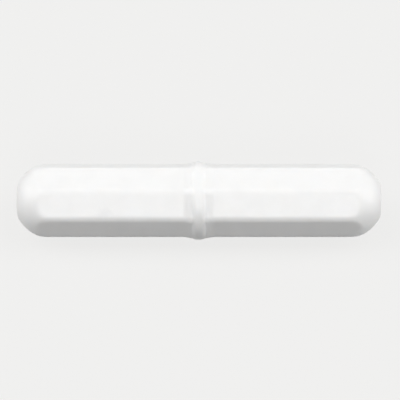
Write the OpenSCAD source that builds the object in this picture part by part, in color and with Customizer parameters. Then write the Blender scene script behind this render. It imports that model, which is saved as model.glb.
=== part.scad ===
// Magnetic stir bar. An eight-sided white jacket with a pivot ring round its middle
// is moulded in one piece over a rod magnet. The bar lies along X, on its ring.

/* [Jacket] */
// Distance across two opposite flats of the body
across_flats = 8; // [7:0.1:12]
// Length over the two end tips
bar_len = 41.3; // [25:0.1:80]
// Radius of the round between neighbouring flats
edge_round = 1.1; // [0.3:0.05:2.5]
// How far the ball shape of the ends stands outside the rounded edges
ball_ease = 0.06; // [0.03:0.01:0.5]
// Depth that is cut off each ball end to leave the flat tip
tip_cut = 0.35; // [0.1:0.05:1]
// Radius of the round between the flat tip and the ball end
tip_round = 1.2; // [0.3:0.1:2]

/* [Pivot ring] */
// Height of the ring above the flats
ring_rise = 0.45; // [0.3:0.05:1.5]
// Width of the straight land round the ring
ring_land_w = 0.5; // [0.2:0.05:3]
// Radius of the round on both shoulders of the ring
shoulder_r = 0.6; // [0.3:0.05:0.9]
// Radius of the hollow where the ring runs out into the flats
root_r = 0.4; // [0.2:0.05:1]

/* [Magnet] */
// Jacket wall over the magnet, measured at the flats
side_wall = 1; // [0.5:0.05:2]
// Jacket wall over each end of the magnet, measured at the tip
end_wall = 2.4; // [1.5:0.1:5]
// Chamfer on both ends of the magnet
magnet_chamfer = 0.4; // [0.1:0.05:0.8]
// Room all round the magnet in its cavity
magnet_fit = 0.05; // [0.02:0.01:0.2]

/* [Hidden] */
$fn = 96;
SIDES = 8;
HALF_STEP = 180 / SIDES;

flat_r = across_flats / 2;
// the rounds between the flats are centred on the corners of a smaller octagon
round_at = (flat_r - edge_round) / cos(HALF_STEP);
corner_r = round_at + edge_round;
flat_w = 2 * (flat_r - edge_round) * tan(HALF_STEP);

ball_r = corner_r + ball_ease;
ball_at = bar_len / 2 - (ball_r - tip_cut);

ring_r = flat_r + ring_rise;
land_at = ring_land_w / 2;
// the shoulder ends the ring outside, and the hollow touches the flats below
shoulder_at = ring_r - shoulder_r;
root_at = flat_r + root_r;
// they touch each other on a low ring, and a tall ring has a straight side between them
tall = shoulder_at > root_at;
side_run = tall
    ? shoulder_r + root_r
    : sqrt(pow(shoulder_r + root_r, 2) - pow(root_at - shoulder_at, 2));
foot_at = land_at + side_run;

magnet_r = flat_r - side_wall - magnet_fit;
magnet_len = bar_len - 2 * (end_wall + magnet_fit);

// Eight flats with a round between each two
module body_section() {
    for (i = [0 : SIDES / 2 - 1])
        rotate(i * 2 * HALF_STEP)
            square([across_flats, flat_w], center = true);
    for (i = [0 : SIDES - 1])
        rotate((2 * i + 1) * HALF_STEP)
            translate([round_at, 0])
                circle(edge_round);
}

// Turns a half section, given as a radius and a place along the bar, about the bar's axis
// and repeats it at the other end
module turned() {
    rotate([0, -90, 0])
        rotate_extrude() {
            children();
            mirror([0, 1])
                children();
        }
}

// Ball end with its flat tip, and the plain length up to the middle of the bar
module end_section() {
    tip_y = ball_r - tip_cut;
    turn_y = tip_y - tip_round;
    turn_x = sqrt(pow(ball_r - tip_round, 2) - pow(turn_y, 2));
    // where the ball passes into the round at the tip
    leave = [turn_x, turn_y] * ball_r / (ball_r - tip_round);
    square([ball_r, ball_at]);
    translate([0, ball_at]) {
        intersection() {
            circle(ball_r);
            polygon([[0, 0], [2 * ball_r, 0], 2 * leave]);
        }
        polygon([[0, 0], leave, [turn_x, turn_y], [turn_x, tip_y], [0, tip_y]]);
        translate([turn_x, turn_y])
            circle(tip_round);
    }
}

// Half of the pivot ring: land, shoulder and the hollow down to the flats
module ring_section() {
    core = flat_r - side_wall / 2;
    side = tall ? [[root_at, land_at + shoulder_r], [shoulder_at, land_at + shoulder_r]] : [];
    difference() {
        polygon(concat(
            [[core, 0], [core, foot_at], [root_at, foot_at]],
            side,
            [[shoulder_at, land_at], [ring_r, land_at], [ring_r, 0]]
        ));
        translate([root_at, foot_at])
            circle(root_r);
    }
    translate([shoulder_at, land_at])
        circle(shoulder_r);
}

// Rod with both ends chamfered, as the magnet or, with room round it, as its cavity
module rod(room) {
    r = magnet_r + room;
    half = magnet_len / 2 + room;
    rotate([0, 90, 0])
        rotate_extrude()
            polygon([
                [0, -half], [r - magnet_chamfer, -half], [r, magnet_chamfer - half],
                [r, half - magnet_chamfer], [r - magnet_chamfer, half], [0, half]
            ]);
}

module ptfe_jacket() {
    color("white")
        translate([0, 0, ring_r])
            difference() {
                union() {
                    intersection() {
                        rotate([90, 0, 90])
                            linear_extrude(bar_len, center = true)
                                body_section();
                        turned()
                            end_section();
                    }
                    turned()
                        ring_section();
                }
                rod(magnet_fit);
            }
}

module magnet_core() {
    color("dimgray")
        translate([0, 0, ring_r])
            rod(0);
}

ptfe_jacket();
magnet_core();
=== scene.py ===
import math

import bpy
import numpy as np
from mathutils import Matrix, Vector, noise


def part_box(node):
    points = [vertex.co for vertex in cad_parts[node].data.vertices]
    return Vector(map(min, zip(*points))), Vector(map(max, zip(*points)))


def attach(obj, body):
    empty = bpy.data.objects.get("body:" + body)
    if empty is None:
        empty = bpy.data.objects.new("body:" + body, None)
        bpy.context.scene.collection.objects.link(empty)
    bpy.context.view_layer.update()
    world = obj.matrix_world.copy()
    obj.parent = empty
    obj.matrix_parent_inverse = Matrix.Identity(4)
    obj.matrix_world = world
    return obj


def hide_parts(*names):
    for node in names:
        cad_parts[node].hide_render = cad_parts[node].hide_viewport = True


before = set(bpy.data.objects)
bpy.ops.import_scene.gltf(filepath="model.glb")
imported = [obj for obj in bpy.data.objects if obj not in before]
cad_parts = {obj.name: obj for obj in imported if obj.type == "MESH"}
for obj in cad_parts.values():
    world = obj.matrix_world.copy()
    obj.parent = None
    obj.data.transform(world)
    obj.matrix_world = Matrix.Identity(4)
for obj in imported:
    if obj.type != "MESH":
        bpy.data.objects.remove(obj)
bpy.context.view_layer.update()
print("frame loaded")


class Socket:
    # a node's output that can stand in an expression, where each operator adds a Math node
    def __init__(self, finish, output):
        self.finish = finish
        self.output = output

    def mathWith(self, operation, first, second):
        return self.finish.node("Math", {"operation": operation}, {0: first, 1: second})

    def __add__(self, other):
        return self.mathWith("ADD", self, other)

    def __radd__(self, other):
        return self.mathWith("ADD", other, self)

    def __sub__(self, other):
        return self.mathWith("SUBTRACT", self, other)

    def __rsub__(self, other):
        return self.mathWith("SUBTRACT", other, self)

    def __mul__(self, other):
        return self.mathWith("MULTIPLY", self, other)

    def __rmul__(self, other):
        return self.mathWith("MULTIPLY", other, self)


class Finish:
    # a new material, or a world's own tree, emptied and ready for its nodes
    def __init__(self, name, tree=None):
        if tree is None:
            self.material = bpy.data.materials.new(name)
            self.material.use_nodes = True
            tree = self.material.node_tree
        self.tree = tree
        self.tree.nodes.clear()

    def node(self, kind, settings=None, sockets=None, output=0):
        made = self.tree.nodes.new("ShaderNode" + kind)
        for name, value in (settings or {}).items():
            if name == "stops":
                self.setStops(made.color_ramp, value)
            else:
                setattr(made, name, value)
        for name, value in (sockets or {}).items():
            if isinstance(value, Socket):
                self.tree.links.new(value.output, made.inputs[name])
            else:
                made.inputs[name].default_value = value
        return Socket(self, made.outputs[output]) if made.outputs else None

    def setStops(self, ramp, stops):
        while len(ramp.elements) < len(stops):
            ramp.elements.new(1.0)
        for element, (place, shade) in zip(ramp.elements, stops):
            element.position = place
            element.color = (shade, shade, shade, 1)

    def millimetres(self):
        place = self.node("TexCoord", output="Object")
        return self.node("VectorMath", {"operation": "SCALE"}, {0: place, "Scale": 1000})

    def grain(self, place, scale, detail, roughness=0.5):
        return self.node("TexNoise", None, {"Vector": place, "Scale": scale, "Detail": detail,
                                            "Roughness": roughness}, output="Fac")

    def ramp(self, value, stops):
        return self.node("ValToRGB", {"stops": stops}, {"Fac": value})

    def blend(self, share, low, high):
        return self.node("Mix", {"data_type": "RGBA"}, {0: share, 6: low, 7: high}, output=2)

    def seenRays(self):
        seen = self.node("LightPath", output="Is Camera Ray")
        mirrored = self.node("LightPath", output="Is Glossy Ray")
        return seen + mirrored + self.node("LightPath", output="Is Transmission Ray")

    def finishWith(self, surface, end="OutputMaterial"):
        self.node(end, None, {"Surface": surface})


# the jacket is white fluoropolymer, moulded in one over the magnet, with the pivot ring round its
# middle; lengths are in metres, and its finish works in millimetres
jacket = {
    "acrossFlats": 0.0080,
    "edgeRound": 0.0011,
    "ballEase": 0.00006,     # how far the ball ends stand outside the rounded edges
    "tipCut": 0.00035,
    "tipRound": 0.0012,
    "endBlend": 0.00015,     # softness of the line where a ball end cuts the flats
    "ringLand": 0.0005,
    "ringShoulder": 0.0006,
    "ringFlareLeft": 0.00050,
    "ringFlareRight": 0.00040,
    "ringBlend": 0.00020,
    "ringSkirt": 0.00015,    # how far the body swells towards the ring
    "ringReach": 0.0018,     # where the swell begins; it is full from half as far out
    "skirtPower": 1.5,       # a larger number begins it more softly
    "waviness": 0.000006,    # how far the moulded faces sink in places
    "sinkShare": 0.002,      # at most this share of the radius, so that the tips stay closed
    "slowWaves": 160,        # waves to the metre
    "quickWaves": 420,
    "waveShift": (7, 3, 5),  # keeps the two kinds of wave apart
    "cavityRoom": 0.00005,   # room round the sealed magnet
    "cavityChamfer": 0.0004,
    "around": 240,           # points round the body
    "cavityAround": 96,
    "fineStep": 0.00008,     # steps along the bar at the ring and the ends
    "tipStep": 0.000112,
    "coarseStep": 0.00045,
    "fineMiddle": 0.0024,    # the fine steps reach this far from the middle
    "fineEnd": 0.0008,       # and start this far before the ball ends
    "colour": (0.925, 0.924, 0.918, 1),
    "cloudColour": (0.885, 0.885, 0.878, 1),     # slow clouds in the sintered resin
    "speckColour": (0.86, 0.858, 0.848, 1),      # fine grains that show through the skin
    # the next eight settings make one faint darker, slightly rougher patch on the upper front flat
    "darkPatchColour": (0.83, 0.832, 0.835, 1),
    "cloudScale": 0.5,
    "grainScale": 5.5,
    "speckScale": 11,
    "cloudStops": [(0.38, 0), (0.66, 1)],
    "speckStops": [(0.56, 0), (0.72, 1)],
    "cloudShare": 0.45,      # how strongly each shows in the colour
    "grainShare": 0.25,
    "speckShare": 0.35,
    "darkPatchShare": 0.5,
    "darkPatchAt": (-10.75, -3.38, 6.62),
    "darkPatchShape": (0.5, 0.72, 0.72),    # a smaller number makes it longer that way
    "darkPatchScale": 1.4,
    "darkPatchRagged": 0.9,     # how uneven its edge is
    "darkPatchStops": [(0.7, 0), (1.0, 1)],
    "leastRoughness": 0.275,
    "grainRoughness": 0.05,  # what each adds to the roughness
    "cloudRoughness": 0.03,
    "darkPatchRoughness": 0.06,
    "skinScale": 1.5,
    "sinterScale": 8,
    "skinShare": 0.6,
    "sinterShare": 0.4,
    "skinDepth": 0.000012,   # depth of the moulded skin's unevenness
    "skinStrength": 0.5,
    "refraction": 1.38,
    "scatter": 0.00035,      # how deep light goes into the resin
    "scatterWeight": 0.6,
    "scatterTint": (1.0, 0.96, 0.92),
}

magnetLow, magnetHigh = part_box("magnet_core")
jacketLow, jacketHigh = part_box("ptfe_jacket")
barHalf = (jacketHigh.x - jacketLow.x) / 2
ringRadius = (jacketHigh.z - jacketLow.z) / 2
axisHeight = (jacketHigh.z + jacketLow.z) / 2
flatRadius = jacket["acrossFlats"] / 2
halfStep = math.pi / 8       # half the angle between two flats


def bodyRadius(angle):
    # an octagon with its corners rounded, as a radius at each angle from a flat's middle
    off = abs((angle + halfStep) % (2 * halfStep) - halfStep)
    edgeRound = jacket["edgeRound"]
    flatHalf = (flatRadius - edgeRound) * math.tan(halfStep)
    if flatRadius * math.tan(off) <= flatHalf:
        return flatRadius / math.cos(off)
    centre = (flatRadius - edgeRound) / math.cos(halfStep)
    turn = halfStep - off
    return centre * math.cos(turn) + math.sqrt(edgeRound ** 2 - (centre * math.sin(turn)) ** 2)


def endProfile():
    # (place along the bar, radius) from the middle of the tip out to the ball's widest place
    ballRadius = bodyRadius(halfStep) + jacket["ballEase"]
    tipRound = jacket["tipRound"]
    ballAt = barHalf - (ballRadius - jacket["tipCut"])
    turnAt = ballRadius - jacket["tipCut"] - tipRound
    turnOut = math.sqrt((ballRadius - tipRound) ** 2 - turnAt ** 2)
    leave = math.atan2(turnAt, turnOut)
    step = jacket["tipStep"]
    points = []
    count = round(turnOut / (2 * step))
    points += [(barHalf, turnOut * k / count) for k in range(1, count)]
    count = round(tipRound * (math.pi / 2 - leave) / step)
    for k in range(count):
        angle = math.pi / 2 + (leave - math.pi / 2) * k / count
        points.append((ballAt + turnAt + tipRound * math.sin(angle), turnOut + tipRound * math.cos(angle)))
    count = round(ballRadius * leave / step)
    for k in range(count + 1):
        angle = leave * (1 - k / count)
        points.append((ballAt + ballRadius * math.sin(angle), ballRadius * math.cos(angle)))
    return points, ballAt, ballRadius


def ringProfile(place):
    # crown, shoulder and hollow of the pivot ring, which then runs on under the flats
    out = abs(place)
    land = jacket["ringLand"] / 2
    shoulder = jacket["ringShoulder"]
    flare = jacket["ringFlareRight"] if place > 0 else jacket["ringFlareLeft"]
    shoulderAt = ringRadius - shoulder
    flareAt = flatRadius + flare
    run = math.sqrt((shoulder + flare) ** 2 - (flareAt - shoulderAt) ** 2)
    meet = land + run * shoulder / (shoulder + flare)
    foot = land + run
    if out <= land:
        return ringRadius
    if out <= meet:
        return shoulderAt + math.sqrt(shoulder ** 2 - (out - land) ** 2)
    if out <= foot:
        return flareAt - math.sqrt(flare ** 2 - (foot - out) ** 2)
    return flatRadius - (out - foot) ** 2 / (2 * flare)


def softLeast(first, second, soft):
    near = max(soft - abs(first - second), 0) / soft
    return min(first, second) - near * near * soft / 4


def softMost(first, second, soft):
    return -softLeast(-first, -second, soft)


def sink(point):
    # moulded faces are never quite flat: they sink a little and never stand proud
    slow = noise.noise(point * jacket["slowWaves"])
    quick = noise.noise(point * jacket["quickWaves"] + Vector(jacket["waveShift"]))
    return jacket["waviness"] * ((slow + 0.5 * quick) * 0.5 + 0.5)


def stations():
    # where the rings of points lie along the bar, with the radius that the ball end allows there
    tip, ballAt, ballRadius = endProfile()
    middle = jacket["fineMiddle"]
    straightFine = ballAt - jacket["fineEnd"]
    places = list(np.arange(0, middle, jacket["fineStep"]))
    count = round((straightFine - middle) / jacket["coarseStep"])
    places += list(np.linspace(middle, straightFine, count, endpoint=False))
    places += list(np.arange(straightFine, ballAt, jacket["fineStep"] * 2))
    right = [(place, ballRadius) for place in places] + tip[::-1]
    left = [(-place, radius) for place, radius in right[:0:-1]]
    return left + right


def addJacket():
    around = jacket["around"]
    angles = [2 * math.pi * k / around for k in range(around)]
    body = [bodyRadius(angle) for angle in angles]
    verts = [(-barHalf, 0, axisHeight)]
    rows = stations()
    for place, endRadius in rows:
        ring = ringProfile(place)
        near = max(1 - abs(place) / jacket["ringReach"], 0)
        swell = jacket["ringSkirt"] * min(near * 2, 1) ** jacket["skirtPower"]
        for angle, radius in zip(angles, body):
            r = softLeast(radius, endRadius, jacket["endBlend"]) + swell
            if ring > flatRadius - jacket["ringBlend"]:
                r = min(softMost(r, ring, jacket["ringBlend"]), ringRadius)
            y, z = math.cos(angle), math.sin(angle)
            r -= min(sink(Vector((place, r * y, r * z))), r * jacket["sinkShare"])
            verts.append((place, r * y, axisHeight + r * z))
    verts.append((barHalf, 0, axisHeight))
    faces = []
    last = len(rows) - 1
    for k in range(around):
        n = (k + 1) % around
        faces.append((0, 1 + n, 1 + k))
        for row in range(last):
            a = 1 + row * around
            faces.append((a + k, a + n, a + around + n, a + around + k))
        a = 1 + last * around
        faces.append((len(verts) - 1, a + k, a + n))
    addCavity(verts, faces)
    mesh = bpy.data.meshes.new("ptfeJacket")
    mesh.from_pydata(verts, [], faces)
    mesh.shade_smooth()
    piece = bpy.data.objects.new("ptfeJacket", mesh)
    bpy.context.scene.collection.objects.link(piece)
    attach(piece, "root")
    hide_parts("ptfe_jacket")
    return piece


def addCavity(verts, faces):
    # the sealed hollow that holds the magnet, as an inner skin that faces inwards
    room = jacket["cavityRoom"]
    radius = (magnetHigh.z - magnetLow.z) / 2 + room
    half = (magnetHigh.x - magnetLow.x) / 2 + room
    chamfer = jacket["cavityChamfer"]
    around = jacket["cavityAround"]
    first = len(verts)
    rows = [(-half, radius - chamfer), (chamfer - half, radius),
            (half - chamfer, radius), (half, radius - chamfer)]
    for place, r in rows:
        for k in range(around):
            angle = 2 * math.pi * k / around
            verts.append((place, r * math.cos(angle), axisHeight + r * math.sin(angle)))
    last = len(rows) - 1
    for k in range(around):
        n = (k + 1) % around
        for row in range(last):
            a = first + row * around
            faces.append((a + k, a + around + k, a + around + n, a + n))
    faces.append([first + k for k in range(around)])
    faces.append([first + last * around + k for k in reversed(range(around))])


def addJacketFinish(piece):
    look = Finish("ptfe")
    place = look.millimetres()
    clouds = look.ramp(look.grain(place, jacket["cloudScale"], detail=3), jacket["cloudStops"])
    grains = look.grain(place, jacket["grainScale"], detail=3, roughness=0.6)
    specks = look.ramp(look.grain(place, jacket["speckScale"], detail=2, roughness=0.7), jacket["speckStops"])
    resin = clouds * jacket["cloudShare"] + grains * jacket["grainShare"]
    colour = look.blend(resin, jacket["colour"], jacket["cloudColour"])
    colour = look.blend(specks * jacket["speckShare"], colour, jacket["speckColour"])

    # one faint darker, slightly rougher patch on the upper front flat
    away = look.node("VectorMath", {"operation": "SUBTRACT"}, {0: place, 1: jacket["darkPatchAt"]})
    away = look.node("VectorMath", {"operation": "MULTIPLY"}, {0: away, 1: jacket["darkPatchShape"]})
    away = look.node("VectorMath", {"operation": "LENGTH"}, {0: away}, output="Value")
    ragged = look.grain(place, jacket["darkPatchScale"], detail=3) * jacket["darkPatchRagged"]
    darkPatch = 1 - look.ramp(away + ragged, jacket["darkPatchStops"])
    colour = look.blend(darkPatch * jacket["darkPatchShare"], colour, jacket["darkPatchColour"])

    roughness = grains * jacket["grainRoughness"] + clouds * jacket["cloudRoughness"]
    roughness = roughness + darkPatch * jacket["darkPatchRoughness"] + jacket["leastRoughness"]
    skin = look.grain(place, jacket["skinScale"], detail=2)
    sinter = look.grain(place, jacket["sinterScale"], detail=4, roughness=0.65)
    bump = look.node("Bump", None, {
        "Strength": jacket["skinStrength"],
        "Distance": jacket["skinDepth"],
        "Height": skin * jacket["skinShare"] + sinter * jacket["sinterShare"],
    })
    surface = look.node("BsdfPrincipled", {"subsurface_method": "RANDOM_WALK"}, {
        "Base Color": colour,
        "Roughness": roughness,
        "IOR": jacket["refraction"],
        "Subsurface Weight": jacket["scatterWeight"],
        "Subsurface Radius": jacket["scatterTint"],
        "Subsurface Scale": jacket["scatter"],
        "Normal": bump,
    })
    look.finishWith(surface)
    piece.data.materials.clear()
    piece.data.materials.append(look.material)


# the magnet is a cast alloy rod, ground to size and sealed inside the jacket
magnet = {
    "colour": (0.20, 0.20, 0.21, 1),
    "groundColour": (0.30, 0.30, 0.31, 1),
    "lineStretch": (30, 1.2, 1.2),       # grinding lines are close along the rod and long round it
    "castScale": 5,
    "castStops": [(0.35, 0), (0.65, 1)],
    "lineShare": 0.7,
    "castShare": 0.3,
    "leastRoughness": 0.28,
    "lineRoughness": 0.15,
    "castRoughness": 0.2,
    "grainDepth": 0.00001,
    "grainStrength": 0.4,
}


def addMagnetFinish(node):
    look = Finish("magnet")
    place = look.millimetres()
    # grinding leaves fine lines round the rod, and the casting's grain shows between them
    along = look.node("VectorMath", {"operation": "MULTIPLY"}, {0: place, 1: magnet["lineStretch"]})
    lines = look.grain(along, 1, detail=3, roughness=0.6)
    cast = look.ramp(look.grain(place, magnet["castScale"], detail=4), magnet["castStops"])
    relief = lines * magnet["lineShare"] + cast * magnet["castShare"]
    roughness = lines * magnet["lineRoughness"] + cast * magnet["castRoughness"] + magnet["leastRoughness"]
    bump = look.node("Bump", None, {
        "Strength": magnet["grainStrength"],
        "Distance": magnet["grainDepth"],
        "Height": relief,
    })
    surface = look.node("BsdfPrincipled", None, {
        "Base Color": look.blend(relief, magnet["colour"], magnet["groundColour"]),
        "Metallic": 1.0,
        "Roughness": roughness,
        "Normal": bump,
    })
    look.finishWith(surface)
    node.data.materials.clear()
    node.data.materials.append(look.material)


ptfeJacket = addJacket()
addJacketFinish(ptfeJacket)
print("jacket made with", len(ptfeJacket.data.polygons), "faces")
addMagnetFinish(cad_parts["magnet_core"])
print("magnet finished")


# the studio has a pale floor, soft lamps and a long lens
studio = {
    "floorSize": 1.6,
    "floorShade": (0.868, 0.866, 0.858, 1),
    "floorGlow": 0.90,       # share of the floor's look that no shadow touches
    "floorLight": (0.20, 0.199, 0.196, 1),      # what the floor throws back up at the object
    "wallShade": (1.0, 1.0, 1.0, 1),
    # each lamp stands so many degrees round from the front and so many up. The wide ones light the
    # faces, the narrow front one also shines in the sloping front face, and the last five, which lie
    # along the horizon, light the far edges and the ends
    "lamps": {     # round, up, width, strength
        "front": (0, 37, 20, 0.73),
        "right": (90, 65, 36, 0.87),
        "rightSide": (90, 25, 36, 0.74),
        "rightLow": (78, 15, 60, 0.72),
        "frontLeftLow": (-50, 15, 40, 0.12),
        "left": (-90, 65, 36, 1.04),
        "leftSide": (-90, 25, 36, 0.87),
        "leftLow": (-120, 15, 30, 0.48),
        "backLeft": (-155, 7, 14, 0.20),
        "back": (180, 7, 14, 0.09),
        "backRight": (155, 7, 14, 0.21),
        "farRight": (135, 7, 14, 0.16),
        "farSide": (112, 7, 14, 0.12),
    },
    "lampDistance": 0.4,
}

view = {
    "elevation": 53.5,
    "lens": 400,
    "frameWidth": 0.04543,   # width of the camera's frame at the bar's middle, in metres
    "aimRight": 0.000120,
    "aimUp": 0.000062,
    "nearest": 0.01,
    "furthest": 10,
}


def addFloor():
    half = studio["floorSize"] / 2
    corners = [(-half, -half, 0), (half, -half, 0), (half, half, 0), (-half, half, 0)]
    mesh = bpy.data.meshes.new("floor")
    mesh.from_pydata(corners, [], [(0, 1, 2, 3)])
    floor = bpy.data.objects.new("floor", mesh)
    bpy.context.scene.collection.objects.link(floor)
    # the camera and reflections see a pale floor with a faint shadow; its light on the object is even
    look = Finish("floor")
    seen = look.seenRays()
    shade = look.node("BsdfDiffuse", None, {"Color": studio["floorShade"]})
    glow = look.node("Emission", None, {"Color": studio["floorShade"]})
    light = look.node("Emission", None, {"Color": studio["floorLight"]})
    shown = look.node("MixShader", None, {0: studio["floorGlow"], 1: shade, 2: glow})
    look.finishWith(look.node("MixShader", None, {0: seen, 1: light, 2: shown}))
    mesh.materials.append(look.material)


def addWorld():
    # the room lights nothing by itself: the camera and the jacket's gloss see its pale walls
    world = bpy.data.worlds.new("studio")
    bpy.context.scene.world = world
    world.use_nodes = True
    look = Finish("world", world.node_tree)
    mirrored = look.node("LightPath", output="Is Glossy Ray")
    walls = look.blend(mirrored, studio["floorShade"], studio["wallShade"])
    room = look.node("Background", None, {"Color": walls, "Strength": look.seenRays()})
    look.finishWith(room, "OutputWorld")


def addLamps():
    for name, (around, up, width, strength) in studio["lamps"].items():
        lamp = bpy.data.lights.new(name, "SUN")
        lamp.energy = strength
        lamp.angle = math.radians(width)
        holder = bpy.data.objects.new(name, lamp)
        around, up = math.radians(around), math.radians(up)
        towards = Vector((math.sin(around) * math.cos(up), -math.cos(around) * math.cos(up), math.sin(up)))
        holder.rotation_mode = "QUATERNION"
        holder.rotation_quaternion = towards.to_track_quat("Z", "Y")
        holder.location = towards * studio["lampDistance"]
        bpy.context.scene.collection.objects.link(holder)


def addCamera():
    elevation = math.radians(view["elevation"])
    back = Vector((0, -math.cos(elevation), math.sin(elevation)))
    up = Vector((0, math.sin(elevation), math.cos(elevation)))
    camera = bpy.data.cameras.new("camera")
    camera.lens = view["lens"]
    camera.clip_start = view["nearest"]
    camera.clip_end = view["furthest"]
    holder = bpy.data.objects.new("camera", camera)
    aim = Vector((view["aimRight"], 0, axisHeight)) + up * view["aimUp"]
    holder.location = aim + back * (view["frameWidth"] * view["lens"] / camera.sensor_width)
    holder.rotation_mode = "QUATERNION"
    holder.rotation_quaternion = (-back).to_track_quat("-Z", "Y")
    bpy.context.scene.collection.objects.link(holder)
    bpy.context.scene.camera = holder


addFloor()
addWorld()
addLamps()
addCamera()
bpy.context.scene.view_settings.view_transform = "Standard"
print("studio set")
